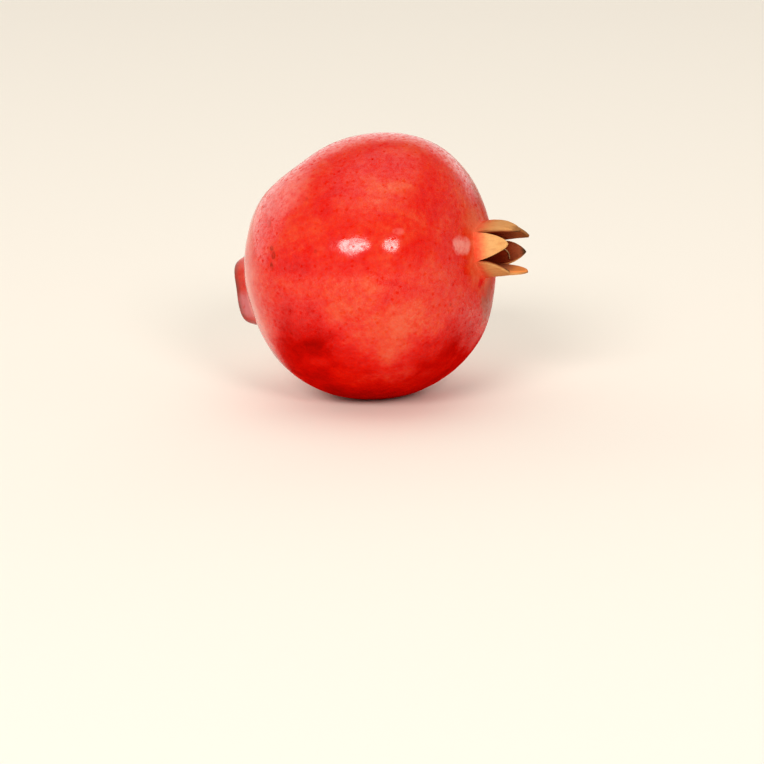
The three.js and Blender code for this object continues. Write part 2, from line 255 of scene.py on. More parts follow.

# Brown scuffs, pale spots and browner patches, by pixel: half sizes round the axis and along it. Of the pale
# spots one is rubbed on the boss, and the rest are painted highlights and a painted sheen. The browner
# patches at the right side are painted shade.
SCUFFS = [
    {"pixel": (271.5, 248.5), "round": 1.5 * MM, "along": 1.3 * MM, "strength": 0.8},
    {"pixel": (273.5, 254.5), "round": 1.7 * MM, "along": 1.5 * MM, "strength": 0.8},
    {"pixel": (271.5, 265.5), "round": 1.7 * MM, "along": 1.1 * MM, "strength": 0.8},
    {"pixel": (269, 223), "round": 2.2 * MM, "along": 1.8 * MM, "strength": 0.45},
    {"pixel": (263, 209), "round": 0.9 * MM, "along": 0.9 * MM, "strength": 0.6},
    {"pixel": (305, 199), "round": 0.9 * MM, "along": 0.9 * MM, "strength": 0.6},
]
RUBBED_AND_HIGHLIGHTS = [
    {"pixel": (246, 306), "round": 6 * MM, "along": 6 * MM, "strength": 0.95},
    # These three at the neck make one painted highlight.
    {"pixel": (458, 246), "round": 3.6 * MM, "along": 4 * MM, "strength": 0.65},
    {"pixel": (462, 245.5), "round": 3.8 * MM, "along": 4 * MM, "strength": 0.65},
    {"pixel": (466, 245.5), "round": 3.6 * MM, "along": 4 * MM, "strength": 0.65},
    # A painted sheen on the upper left, towards the stalk end.
    {"pixel": (283, 192), "round": 13 * MM, "along": 13 * MM, "strength": 0.22},
    # A painted highlight: a pale smear beside the right lamp's highlight.
    {"pixel": (399, 231.5), "round": 1.8 * MM, "along": 4 * MM, "strength": 0.18},
]
RIGHT_SIDE_SHADE = [
    # Painted shade: browner patches at the right side, low and high.
    {"pixel": (490, 296), "round": 13 * MM, "along": 10 * MM, "strength": 0.7},
    {"pixel": (480, 198), "round": 13 * MM, "along": 7 * MM, "strength": 0.35},
]
MARK_EDGE = (0.1, 1.0)

# Patterns on the rind, by their noise. Scales are in waves to a metre, and stretch draws a pattern out.
PATTERNS = {
    "zones": {"scale": 40, "detail": 2},
    "blotches": {"scale": 110, "detail": 4, "roughness": 0.55, "distortion": 0.6, "stretch": (1, 1, 0.65)},
    "fine": {"scale": 420, "detail": 5, "roughness": 0.62},
    "lace": {"scale": 240, "detail": 3, "roughness": 0.6, "distortion": 1.4},
    "lace areas": {"scale": 70, "detail": 1},
    "streaks": {"scale": 1100, "detail": 3, "roughness": 0.6, "stretch": (1, 1, 0.14)},
    "pits": {"scale": 850, "detail": 3, "roughness": 0.6},
    "wax": {"scale": 650, "detail": 4, "roughness": 0.7},
}
DRIFT_NOISE = {"scale": 160, "detail": 3, "out": "Color"}
DRIFTS = {"far drift": 9 * MM, "near drift": 3 * MM}
FRUIT_MARKS = ("boss", "neck", "sepal", "inside", "cup", "across", "dry", "pale")

# What shifts the rind's tone, and what moves the edge of its deeper underside up or down. The deeper red
# below is partly the rind's own and partly painted shade.
TONE_SHIFTS = {"zones": 0.22, "blotches": 0.34, "fine": 0.28}
LACE_WIDTH = 0.05
LACE_AREAS = (0.45, 0.65)
LACE_TONE = 0.07
UNDERSIDE_RED_AND_SHADE_TONE = 0.31
NEAR_CROWN_TONE = 0.19
PATCH_CORE = 0.3
PATCH_LEVEL = 90 * MM
LEVEL_SHIFTS = {"zones": 24 * MM, "blotches": 14 * MM}

# Where the rind's looks change: heights above the floor, distances from the axis, and places along it.
UNDERSIDE_RED_AND_SHADE_HEIGHTS = (0, 34 * MM)
GLOSS_HEIGHTS = (14 * MM, 34 * MM)
NEAR_CROWN = (9 * MM, 19 * MM)
MATT_CROWN = (12 * MM, 28 * MM)
CROWN_SIDE = (0, 20 * MM)
GLOSSY_END = (-29 * MM, -23 * MM)
PAINTED_SHEEN_END = (-36 * MM, -18 * MM)
BOSS_UNDERNEATH = (10 * MM, 14 * MM)

# Colours laid over the rind, and where in the patterns or on the boss each begins and is full.
# Painted sheen: a pale band towards the stalk end stands in for a reflection.
PAINTED_SHEEN_COLOUR = srgb(240, 150, 138)
PAINTED_SHEEN_BLOTCHES = (0.35, 0.65)
PAINTED_SHEEN_STRENGTHS = (0.2, 0.6)
# Painted shade: a browner colour at the right side stands in for shade there.
RIGHT_SIDE_SHADE_COLOUR = srgb(150, 80, 64)
RIGHT_SIDE_SHADE_BLOTCHES = (0.3, 0.55)
RIGHT_SIDE_SHADE_NECK_END = 0.5
BOSS_COLOUR = srgb(146, 50, 42)
BOSS_BLOTCHES = (0.35, 0.6)
BOSS_STRENGTHS = (0.95, 0.6)
BOSS_FOOT = (0, 0.3)
# Painted highlight colour, for the pale spots off the boss.
PAINTED_HIGHLIGHT_COLOUR = srgb(240, 160, 148)
RUBBED_BOSS_COLOUR = srgb(198, 108, 110)
RUBBED_AND_HIGHLIGHT_GRAIN = (0.2, 0.5)
RUBBED_AND_HIGHLIGHT_SEPAL_END = 0.1
SCUFF_COLOUR = srgb(140, 34, 16)
SCUFF_GRAIN = (0.38, 0.58)
SPECKS_PER_METRE = 150
SPECK_EDGE = (0.05, 0.13)
SPECK_DRAW = (0.86, 0.9)
SPECK_STRENGTH = 0.45
PORE_COLOUR = srgb(150, 44, 26)
PORES_PER_METRE = 360
PORE_EDGE = (0.1, 0.26)
PORE_STRENGTH = 0.03
BOSS_BROWN = srgb(116, 54, 40)
BOSS_RIM = (0.6, 0.9)
BOSS_FACE = (0.97, 1.0)
BOSS_WALL = (0.05, 0.4)
BOSS_BROWN_GRAIN = (0.32, 0.56)
BOSS_BROWN_STRENGTH = 0.8

# The crown's colours: outside from root to tip, dry ends and edges, and inside from the cup to the tip.
TAN_STOPS = [
    (0.2, srgb(226, 92, 64)),
    (0.32, srgb(226, 110, 73)),
    (0.44, srgb(226, 132, 84)),
    (0.56, srgb(222, 156, 97)),
    (0.68, srgb(222, 169, 108)),
    (1.0, srgb(219, 164, 101)),
]
TAN_START = (0.1, 0.42)
NECK_RIPENESS = 0.2
RIPENESS_SHIFTS = {"fine": 0.25, "streaks": 0.2}
STREAK_COLOUR = srgb(190, 110, 62)
STREAK_EDGE = (0.5, 0.75)
STREAK_STRENGTH = 0.5
DRY_COLOUR = srgb(178, 112, 62)
DRY_START = (0, 0.2)
DRY_STRENGTH = 0.4
DRY_END_COLOUR = srgb(104, 62, 36)
DRY_END = (0.72, 1.0)
DRY_END_SHIFTS = {"fine": 0.3, "streaks": 0.3}
RIM_COLOUR = srgb(128, 76, 42)
RIM_WIDENS = 0.25
RIM_EDGE = (0.96, 1.1)
RIM_START = (0.1, 0.4)
RIM_GRAIN = (0.35, 0.6)
RIM_STRENGTH = 0.7
INSIDE_SEPAL_SHARE = 0.85
INSIDE_CUP_SHARE = 0.15
INSIDE_SHIFTS = {"fine": 0.2, "streaks": 0.2}
INSIDE_EDGE = (0.35, 0.8)
MAROON_STOPS = [
    (0.0, srgb(104, 26, 8)),
    (0.3, srgb(126, 34, 12)),
    (0.55, srgb(142, 58, 30)),
    (0.8, srgb(154, 78, 48)),
    (0.95, srgb(72, 52, 34)),
]
ORANGE_STOPS = [
    (0.2, srgb(110, 36, 16)),
    (0.5, srgb(184, 102, 64)),
    (0.75, srgb(224, 134, 70)),
]

# The rind's wax and relief.
RIND_ROUGHNESS = (0.36, 0.62)
ROUGHNESS_SHIFTS = {"blotches": 0.15}
BOSS_DULLNESS = 0.6
MATT_CROWN_SHARE = 0.85
WAX_GAPS = (0.34, 0.6)
WAX_WEIGHTS = (0.3, 1.0)
WAX_PORES = 0.9
WAX_GLOSSY_END = 0.85
COAT_ROUGHNESS = 0.13
COAT_IOR = 1.55
PORE_RELIEF = 0.35
STREAK_RELIEF = 1.5
RIND_RELIEF = {"Strength": 0.9, "Distance": 0.22 * MM}

# The stamens' looks.
STAMEN_GRAIN = {"scale": 900, "detail": 3, "roughness": 0.6}
THREAD_STOPS = [(0.35, srgb(122, 78, 44)), (0.65, srgb(204, 160, 108))]
ANTHER_STOPS = [(0.35, srgb(84, 52, 28)), (0.65, srgb(152, 108, 58))]
CUSHION_STOPS = [(0.35, srgb(54, 20, 10)), (0.65, srgb(110, 54, 32))]
STAMEN_ROUGHNESS = (0.65, 0.9)
STAMEN_RELIEF = {"Strength": 0.4, "Distance": 0.1 * MM}

# The stalk's looks. Its rings are a wave over the radius of the cut, RING_PHASE radians long.
BARK_FIBRES = {"scale": 1100, "detail": 4, "roughness": 0.65, "stretch": (0.2, 1, 1)}
BARK_STOPS = [
    (0.32, srgb(62, 42, 28)),
    (0.48, srgb(122, 90, 62)),
    (0.62, srgb(150, 118, 86)),
    (0.75, srgb(176, 148, 114)),
]
WOOD_STOPS = [(0.2, srgb(196, 158, 112)), (0.8, srgb(222, 192, 148))]
RING_PHASE = 34
RING_WAVER = 0.12
RING_RELIEF = 0.2
PITH_COLOUR = srgb(138, 96, 60)
PITH_EDGE = (0.1, 0.28)
CUT_EDGE = (0.5, 1.0)
BARK_ROUGHNESS = (0.7, 0.95)
STALK_RELIEF = {"Strength": 0.6, "Distance": 0.2 * MM}


class Wire:
    """An output socket of a node tree. Arithmetic on wires adds Math nodes, and node() adds any node."""

    def __init__(self, tree, socket=None):
        self.tree = tree
        self.socket = socket

    def node(self, kind, settings=None, sockets=None, out=0):
        """Adds a node, sets it up, fills or joins its inputs, and gives one of its outputs."""
        made = self.tree.nodes.new(kind)
        for name, value in (settings or {}).items():
            if name == "stops":
                set_stops(made.color_ramp, value)
            else:
                setattr(made, name, value)
        for key, value in (sockets or {}).items():
            for wire in value if isinstance(value, list) else [value]:
                if isinstance(wire, Wire):
                    self.tree.links.new(wire.socket, made.inputs[key])
                else:
                    made.inputs[key].default_value = wire
        return Wire(self.tree, made.outputs[out] if made.outputs else None)

    def math(self, operation, *others):
        return self.node("ShaderNodeMath", {"operation": operation}, dict(enumerate((self, *others))))

    def __add__(self, other):
        return self.math("ADD", other)

    __radd__ = __add__

    def __mul__(self, other):
        return self.math("MULTIPLY", other)

    __rmul__ = __mul__

    def __sub__(self, other):
        return self.math("SUBTRACT", other)

    def __rsub__(self, other):
        return self.node("ShaderNodeMath", {"operation": "SUBTRACT"}, {0: other, 1: self})

    def __truediv__(self, other):
        return self.math("DIVIDE", other)

    def __rtruediv__(self, other):
        return self.node("ShaderNodeMath", {"operation": "DIVIDE"}, {0: other, 1: self})

    def __pow__(self, other):
        return self.math("POWER", other)

    def __abs__(self):
        return self.math("ABSOLUTE")

    def sin(self):
        return self.math("SINE")

    def cos(self):
        return self.math("COSINE")

    def arcsin(self):
        return self.math("ARCSINE")

    def ramp(self, low, high, smooth=False):
        """0 up to low, 1 from high on, and rising between them."""
        return self.node(
            "ShaderNodeMapRange",
            {"interpolation_type": "SMOOTHSTEP" if smooth else "LINEAR", "clamp": True},
            {"Value": self, "From Min": low, "From Max": high},
        )

    def between(self, start, end):
        """The number that lies this wire's share of the way from start to end."""
        return (end - start) * self + start

    def parts(self):
        """The three numbers of a vector."""
        split = self.node("ShaderNodeSeparateXYZ", sockets={0: self}).socket.node
        return [Wire(self.tree, output) for output in split.outputs]

    def vector(self, x, y, z):
        return self.node("ShaderNodeCombineXYZ", sockets={0: x, 1: y, 2: z})

    def vector_math(self, operation, other, out="Vector"):
        return self.node("ShaderNodeVectorMath", {"operation": operation}, {0: self, 1: other}, out)

    def noise(self, scale, detail=2.0, roughness=0.5, distortion=0.0, stretch=None, out="Fac"):
        """Smooth noise round one half at this place, drawn out in directions where stretch is below 1."""
        place = self.vector_math("MULTIPLY", stretch) if stretch else self
        grain = {"Scale": scale, "Detail": detail, "Roughness": roughness, "Distortion": distortion}
        return self.node("ShaderNodeTexNoise", {"noise_dimensions": "3D"}, {"Vector": place} | grain, out)

    def cells(self, scale, out):
        """Scattered cells: how far this place is from the nearest one's middle, or that one's own colour."""
        return self.node("ShaderNodeTexVoronoi", sockets={"Vector": self, "Scale": scale}, out=out)

    def mix(self, start, end):
        """The colour that lies this wire's share of the way from start to end."""
        settings = {"data_type": "RGBA", "clamp_factor": True}
        return self.node("ShaderNodeMix", settings, {0: self, 6: start, 7: end}, 2)

    def colours(self, stops):
        """The colour of a ramp at this wire's value."""
        return self.node("ShaderNodeValToRGB", {"stops": stops}, {"Fac": self}, "Color")

    def attribute(self, name):
        """A number stored on the surface when it was grown."""
        return self.node("ShaderNodeAttribute", {"attribute_name": name}, out="Fac")


def set_stops(ramp, stops):
    """Gives a colour ramp its stops, as pairs of place and colour."""
    while len(ramp.elements) > 1:
        ramp.elements.remove(ramp.elements[-1])
    for number, (place, colour) in enumerate(stops):
        stop = ramp.elements[0] if number == 0 else ramp.elements.new(place)
        stop.position = place
        stop.color = (*colour[:3], 1.0)


def new_material(name):
    """A material with an empty tree."""
    material = bpy.data.materials.new(name)
    material.use_nodes = True
    material.node_tree.nodes.clear()
    return material


def grow(name, sizes, shape, material):
    """A plain mesh object from a Geometry Nodes tree: sizes are its inputs, and shape adds its geometry."""
    tree = bpy.data.node_groups.new(name, "GeometryNodeTree")
    plugs = {n: tree.interface.new_socket(n, in_out="INPUT", socket_type="NodeSocketFloat") for n in sizes}
    tree.interface.new_socket("Geometry", in_out="OUTPUT", socket_type="NodeSocketGeometry")
    entry = tree.nodes.new("NodeGroupInput")
    root = Wire(tree)
    geometry = shape(root, {n: Wire(tree, entry.outputs[n]) for n in sizes})
    geometry = root.node("GeometryNodeRealizeInstances", sockets={"Geometry": geometry})
    geometry = root.node("GeometryNodeSetMaterial", sockets={"Geometry": geometry, "Material": material})
    root.node("NodeGroupOutput", sockets={"Geometry": geometry})
    piece = bpy.data.objects.new(name, bpy.data.meshes.new(name))
    bpy.context.scene.collection.objects.link(piece)
    modifier = piece.modifiers.new("grow", "NODES")
    modifier.node_group = tree
    for n, plug in plugs.items():
        modifier[plug.identifier] = sizes[n]
    evaluated = piece.evaluated_get(bpy.context.evaluated_depsgraph_get())
    mesh = bpy.data.meshes.new_from_object(evaluated)
    piece.modifiers.remove(modifier)
    piece.data = mesh
    return piece


def grid(root, rows, columns):
    """A grid to be bent into a round shape, with its stretches and its way round as shares from 0 to 1."""
    row_count = sum(rows.values())
    surface = root.node(
        "GeometryNodeMeshGrid",
        sockets={"Size X": 1, "Size Y": 1, "Vertices X": columns + 1, "Vertices Y": row_count + 1},
    )
    column_share, row_share, _ = root.node("GeometryNodeInputPosition").parts()
    row = (row_share + 0.5) * row_count
    stage = {}
    first_row = 0
    for name, count in rows.items():
        stage[name] = row.ramp(first_row, first_row + count)
        first_row += count
    return surface, stage, column_share + 0.5


def store(root, surface, marks):
    """Keeps named numbers on the surface's points, for its material."""
    for name, value in marks.items():
        surface = root.node(
            "GeometryNodeStoreNamedAttribute",
            {"data_type": "FLOAT", "domain": "POINT"},
            {"Geometry": surface, "Name": name, "Value": value},
        )
    return surface


def bend(root, surface, place):
    """Moves the surface's points to their places."""
    return root.node("GeometryNodeSetPosition", sockets={"Geometry": surface, "Position": place})


def close(root, surface):
    """Joins a bent grid along its seam and at its poles, and shades it smooth."""
    joined = {"Geometry": surface, "Distance": MERGE_DISTANCE}
    surface = root.node("GeometryNodeMergeByDistance", sockets=joined)
    return root.node("GeometryNodeSetShadeSmooth", sockets={"Geometry": surface})


def lay_down(root, geometry):
    """Turns geometry from the fruit's own frame, with its axis along +Z, to how the fruit lies."""
    lie = {"Translation": FRUIT_CENTRE, "Rotation": (0, math.pi / 2 - AXIS_RISE, 0)}
    return root.node("GeometryNodeTransform", sockets={"Geometry": geometry} | lie)


def rind_radius(root, size, away, turn):
    """How far the rind lies from the fruit's middle: a squarish round with ribs, swells and small lumps."""
    power = size["Squareness"] + away.cos() * CROWN_END_FULLER
    across_share = (abs(away.sin()) / size["Equator radius"]) ** power
    along_share = (abs(away.cos()) / size["Pole radius"]) ** power
    radius = (across_share + along_share) ** (-1 / power)
    radius += size["Rib height"] * away.sin() ** 2 * ((turn - FIRST_SEPAL_TURN) * RIB_COUNT).cos()
    here = root.vector(away.sin() * turn.cos(), away.sin() * turn.sin(), away.cos())
    for swell in SWELLS:
        swell_away, swell_turn = math.radians(swell["away"]), math.radians(swell["turn"])
        middle = (
            math.sin(swell_away) * math.cos(swell_turn),
            math.sin(swell_away) * math.sin(swell_turn),
            math.cos(swell_away),
        )
        sharpness = 2 / math.radians(swell["spread"]) ** 2
        nearness = here.vector_math("DOT_PRODUCT", middle, "Value") - 1
        radius += (nearness * sharpness).math("EXPONENT") * swell["height"]
    lumps = here.noise(LUMPS_PER_RADIUS, detail=3) - 0.5
    return radius + size["Lump height"] * lumps


def fruit_surface(root, size):
    """Rind, boss and crown, in rows from the stalk's socket over the rind and up the sepals into the cup."""
    surface, stage, share_round = grid(root, SURFACE_ROWS, COLUMNS_PER_SEPAL * len(SEPALS))

    # Each sepal's columns stand evenly round the rind, and draw together into its outline up the neck.
    sepals_round = share_round * len(SEPALS)
    nearest = (sepals_round + 0.5).math("FLOOR")
    aside = sepals_round - nearest
    rise = 1 - abs(aside) * 2
    which = nearest.math("MODULO", len(SEPALS))
    is_sepal = [which.math("COMPARE", number, 0.5) for number in range(len(SEPALS))]
    sepal = {key: sum(here * one[key] for here, one in zip(is_sepal, SEPALS)) for key in SEPALS[0]}
    outline = (1 - rise ** sepal["full"]) ** sepal["point"] * (1 - rise.ramp(0, SEPAL_GAP_FROM) * SEPAL_GAP)
    across = stage["neck"].ramp(0, 1, smooth=True).between(1 - rise, outline)
    turn = (nearest + aside.math("SIGN") * across * 0.5) * SECTOR + FIRST_SEPAL_TURN
    turn -= ((turn - SKEW_TURN).cos() + 1) * (CROWN_SKEW / 2)

    # From the socket over the boss to its foot, then along the flank, then up the neck.
    boss_corners = ((turn - BOSS_CORNER_TURN) * BOSS_CORNERS).cos() * BOSS_CORNER_REACH
    boss_edge = size["Boss radius"] + turn.cos() * BOSS_DROOP + boss_corners
    from_axis = (
        stage["socket floor"] * (SOCKET_RADIUS - SOCKET_EDGE)
        + stage["socket wall"] * (2 * SOCKET_EDGE)
        + stage["boss face"] * (boss_edge - BOSS_EDGE - SOCKET_RADIUS - SOCKET_EDGE)
        + stage["boss wall"] * (2 * BOSS_EDGE)
    )
    stalk_away = math.pi - (from_axis / size["Pole radius"]).arcsin()
    boss_foot_away = math.pi - ((boss_edge + BOSS_EDGE) / size["Pole radius"]).arcsin()
    neck_foot_away = (size["Neck foot radius"] / size["Pole radius"]).arcsin()
    sweep = stage["neck"] * (math.pi / 2)
    neck_radius = sweep.sin().between(size["Neck foot radius"], size["Crown radius"])
    neck_away = (neck_radius / size["Pole radius"]).arcsin()
    away = stalk_away + stage["flank"] * (neck_foot_away - boss_foot_away) + neck_away - neck_foot_away
    radius = rind_radius(root, size, away, turn)
    on_boss = 1 - from_axis.ramp(boss_edge - BOSS_EDGE, boss_edge + BOSS_EDGE, smooth=True)
    in_socket = 1 - from_axis.ramp(SOCKET_RADIUS - SOCKET_EDGE, SOCKET_RADIUS + SOCKET_EDGE, smooth=True)
    along = on_boss.between(radius * away.cos(), -BOSS_REACH) + in_socket * SOCKET_DEPTH
    up_neck = 1 - sweep.cos()
    facet = (1 / (across * (SECTOR / 2)).cos() - 1) * CROWN_FLATNESS + 1
    root_radius = up_neck.between(radius * away.sin(), size["Crown radius"] * facet)
    along = up_neck.between(along, CROWN_ROOT - (turn - TILT_TURN).cos() * CROWN_TILT)

    # Up a sepal's outside, over its rim, down its inside and along the cup's wall to the cup's floor.
    waves = root.vector(turn.cos(), turn.sin(), 0).noise(**SEPAL_WAVE_NOISE) - 0.5
    rim_height = rise.between(NOTCH_LIP, sepal["length"]) * (1 + waves * (1 - rise) * (2 * SEPAL_WAVES))
    rim_round = (rim_height / SEPAL_RIM_PARTS).math("MINIMUM", SEPAL_RIM_ROUND)
    rim_turn = stage["sepal rim"] * math.pi
    climb = stage["sepal outside"] - stage["sepal inside"]
    height = (rim_height - rim_round) * climb + rim_round * rim_turn.sin()
    share = height / sepal["length"]
    inside = (1 - rim_turn.cos()) * 0.5
    lean = share * (1 - share) * (4 * SEPAL_BELLY) - sepal["tip_in"] * share * share
    fibre_place = root.vector(turn.cos(), turn.sin(), share * SEPAL_FIBRE_CHANGE + inside)
    fibres = fibre_place.noise(**SEPAL_FIBRE_NOISE) - 0.5
    lean += fibres * share.ramp(0, SEPAL_FIBRES_FULL) * SEPAL_FIBRES
    dip = stage["cup"] * (math.pi / 2)
    out = root_radius + lean - inside * share.between(SEPAL_ROOT_THICK, SEPAL_TIP_THICK)
    out *= dip.cos()
    bent_turn = turn + sepal["side_deg"] * math.radians(1) * share * share
    place = root.vector(
        out * bent_turn.cos() + share * share * CROWN_DROOP,
        out * bent_turn.sin(),
        dip.sin().between(along + height, CUP_FLOOR),
    )

    marks = (on_boss, stage["neck"], share, inside, stage["cup"], across, sepal["dry"], sepal["pale"])
    surface = store(root, surface, dict(zip(FRUIT_MARKS, marks)))
    surface = lay_down(root, bend(root, surface, place))
    x, y, z = root.node("GeometryNodeInputPosition").parts()
    surface = bend(root, surface, root.vector(x, y, z.math("SMOOTH_MAX", 0.0, PRESS_ROUND)))
    return close(root, surface)


def thread(root, length, thickness, tip_radius):
    """One upright thread that thins towards its end, with a small bean on it."""
    line = root.node(
        "GeometryNodeCurvePrimitiveLine",
        sockets={"Start": (0, 0, 0), "End": root.vector(0, 0, length)},
    )
    line = root.node("GeometryNodeResampleCurve", sockets={"Curve": line, "Count": THREAD_STEPS})
    height = root.node("GeometryNodeSplineParameter", out="Factor")
    thins = 1 - height * THREAD_TAPER
    line = root.node("GeometryNodeSetCurveRadius", sockets={"Curve": line, "Radius": thins})
    section = root.node(
        "GeometryNodeCurvePrimitiveCircle",
        sockets={"Resolution": THREAD_SIDES, "Radius": thickness * 0.5},
    )
    tube = root.node(
        "GeometryNodeCurveToMesh",
        sockets={"Curve": line, "Profile Curve": section, "Fill Caps": True},
    )
    bean = root.node(
        "GeometryNodeMeshUVSphere",
        sockets={"Segments": BEAN_SEGMENTS, "Rings": BEAN_RINGS, "Radius": tip_radius},
    )
    bean = root.node(
        "GeometryNodeTransform",
        sockets={"Geometry": bean, "Translation": root.vector(0, 0, length), "Scale": BEAN_SHAPE},
    )
    bean = store(root, bean, {"tip": 1.0})
    return root.node("GeometryNodeJoinGeometry", sockets={"Geometry": [tube, bean]})


def random_between(root, low, high, seed):
    """A number for each point, drawn between two limits."""
    return root.node("FunctionNodeRandomValue", {"data_type": "FLOAT"}, {2: low, 3: high, 8: seed}, 1)


def cup_rise(root, from_axis):
    """How far the cup's wall rises above its floor at a distance from the axis, on its higher side."""
    share = from_axis / (CROWN_RADIUS - SEPAL_ROOT_THICK)
    return (1 - (1 - share * share).math("SQRT")) * (CUP_DEPTH + CROWN_TILT)


def stamen_brush(root, size):
    """Stamens in a sunflower spiral on a cushion on the cup's floor, with the style in the middle."""
    points = root.node("GeometryNodePoints", sockets={"Count": STAMEN_COUNT})
    number = root.node("GeometryNodeInputIndex")
    share = ((number + 0.5) / STAMEN_COUNT).math("SQRT")
    turn = number * GOLDEN_ANGLE
    from_axis = share * size["Ring radius"]
    foot = cup_rise(root, from_axis) + CUP_FLOOR + GAP + STAMEN_THICK
    points = bend(root, points, root.vector(from_axis * turn.cos(), from_axis * turn.sin(), foot))
    lean = share.between(*STAMEN_LEANS)
    lean += random_between(root, -STAMEN_LEAN_SPREAD, STAMEN_LEAN_SPREAD, RANDOM_SEED)
    facing = root.node("FunctionNodeEulerToRotation", sockets={0: root.vector(0, lean, turn)})
    shortest, longest = STAMEN_LENGTHS
    tall = random_between(root, shortest / longest, 1.0, RANDOM_SEED + 1)
    brush = root.node(
        "GeometryNodeInstanceOnPoints",
        sockets={
            "Points": points,
            "Instance": thread(root, size["Stamen length"], size["Stamen thickness"], ANTHER_RADIUS),
            "Rotation": facing,
            "Scale": root.vector(1, 1, tall),
        },
    )
    style = root.node(
        "GeometryNodeTransform",
        sockets={
            "Geometry": thread(root, size["Style length"], STYLE_THICK, STIGMA_RADIUS),
            "Translation": (0, 0, CUP_FLOOR + GAP + CUSHION_HEIGHT / 2),
        },
    )
    brush = root.node("GeometryNodeJoinGeometry", sockets={"Geometry": [brush, style]})
    brush = root.node("GeometryNodeRealizeInstances", sockets={"Geometry": brush})

    # Dry threads curl, more towards their ends.
    place = root.node("GeometryNodeInputPosition")
    _, _, z = place.parts()
    above = z - (CUP_FLOOR + CUSHION_HEIGHT)
    sway_x, sway_y, _ = place.noise(**STAMEN_CURL_NOISE).parts()
    reach = above.math("MAXIMUM", 0) * (2 * STAMEN_CURL)
    curl = root.vector((sway_x - 0.5) * reach, (sway_y - 0.5) * reach, 0)
    brush = root.node("GeometryNodeSetPosition", sockets={"Geometry": brush, "Offset": curl})

    surface, stage, share_round = grid(root, {"under": CUSHION_ROWS, "over": CUSHION_ROWS}, CUSHION_COLUMNS)
    round_turn = share_round * math.tau
    out = (stage["under"] - stage["over"]) * CUSHION_RADIUS
    dome = (1 - (out / CUSHION_RADIUS) ** CUSHION_DOME_POWER) * CUSHION_HEIGHT * stage["over"].math("CEIL")
    z = cup_rise(root, out) + dome + (CUP_FLOOR + GAP)
    cushion = bend(root, surface, root.vector(out * round_turn.cos(), out * round_turn.sin(), z))
    cushion = store(root, close(root, cushion), {"cushion": 1.0})

    # One long thread has come loose and bends over along the back sepal.
    start, middle, end = STRAY_THREAD
    stray = root.node(
        "GeometryNodeCurveQuadraticBezier",
        sockets={"Resolution": 2 * THREAD_STEPS, "Start": start, "Middle": middle, "End": end},
    )
    section = root.node(
        "GeometryNodeCurvePrimitiveCircle",
        sockets={"Resolution": THREAD_SIDES, "Radius": STRAY_THICK / 2},
    )
    stray = root.node(
        "GeometryNodeCurveToMesh",
        sockets={"Curve": stray, "Profile Curve": section, "Fill Caps": True},
    )
    threads = root.node("GeometryNodeJoinGeometry", sockets={"Geometry": [brush, stray]})
    threads = root.node("GeometryNodeSetShadeSmooth", sockets={"Geometry": threads})
    return lay_down(root, root.node("GeometryNodeJoinGeometry", sockets={"Geometry": [threads, cushion]}))


def stalk_stub(root, size):
    """The cut stalk: a rough woody peg that points out of the boss's socket."""
    surface, stage, share_round = grid(root, STALK_ROWS, STALK_COLUMNS)
    turn = share_round * -math.tau
    edge_turn = stage["edge"] * (math.pi / 2)
    wide = stage["side"].between(STALK_ROOT_RADIUS, size["Stalk radius"])
    ring = root.vector(turn.cos(), turn.sin(), stage["side"])
    rough = (ring.noise(**STALK_BARK_NOISE) - 0.5) * STALK_ROUGHNESS
    out = (wide + rough - (1 - edge_turn.cos()) * STALK_ROUND) * stage["root"]
    out *= 1 - stage["cut"]
    foot = BOSS_REACH - SOCKET_DEPTH + GAP
    on_cut = root.vector(out * turn.cos(), out * turn.sin(), 0)
    saw_marks = (on_cut.noise(**STALK_SAW_NOISE) - 0.5) * stage["cut"].math("CEIL")
    along = stage["side"] * (size["Stalk length"] - STALK_ROUND) + edge_turn.sin() * STALK_ROUND
    along += saw_marks * STALK_ROUGHNESS
    surface = store(root, surface, {"cut": stage["edge"], "ring": 1 - stage["cut"]})
    surface = bend(root, surface, root.vector(out * turn.cos(), out * turn.sin(), (along + foot) * -1))
    return lay_down(root, close(root, surface))


def spot_on(fruit, pixel):
    """Where the camera sees the fruit's surface at a pixel."""
    camera = bpy.context.scene.camera
    focal_pixels = PIXELS_PER_METRE * CAMERA_DISTANCE
    aside, below = (value - FRAME_PIXELS / 2 for value in pixel)
    ray = camera.matrix_world.to_3x3() @ Vector((aside, -below, -focal_pixels)).normalized()
    depsgraph = bpy.context.evaluated_depsgraph_get()
    _, place, _, _ = fruit.ray_cast(camera.matrix_world.translation, ray, depsgraph=depsgraph)
    return place


def marked(fruit, here, marks):
    """How strongly oval marks show here: each lies at its pixel, longer round the axis or along it."""
    axis = Vector((math.cos(AXIS_RISE), 0, math.sin(AXIS_RISE)))
    shown = None
    for mark in marks:
        place = spot_on(fruit, mark["pixel"])
        offset = here.vector_math("SUBTRACT", place)
        along = offset.vector_math("DOT_PRODUCT", axis, "Value")
        far = offset.vector_math("DOT_PRODUCT", offset, "Value")
        around = (far - along * along) / mark["round"] ** 2
        beside = along * along / mark["along"] ** 2
        strength = (1 - (around + beside).ramp(*MARK_EDGE, smooth=True)) * mark["strength"]
        shown = shown.math("MAXIMUM", strength) if shown else strength
    return shown


def shifted(value, skin, shifts):
    """A value that patterns move up and down, each by its own weight."""
    for name, weight in shifts.items():
        value = value + (skin[name] - 0.5) * weight
    return value


def set_finish(root, sockets):
    """Ends a material's tree in one shader with these inputs."""
    shader = root.node("ShaderNodeBsdfPrincipled", sockets=sockets)
    root.node("ShaderNodeOutputMaterial", sockets={"Surface": shader})


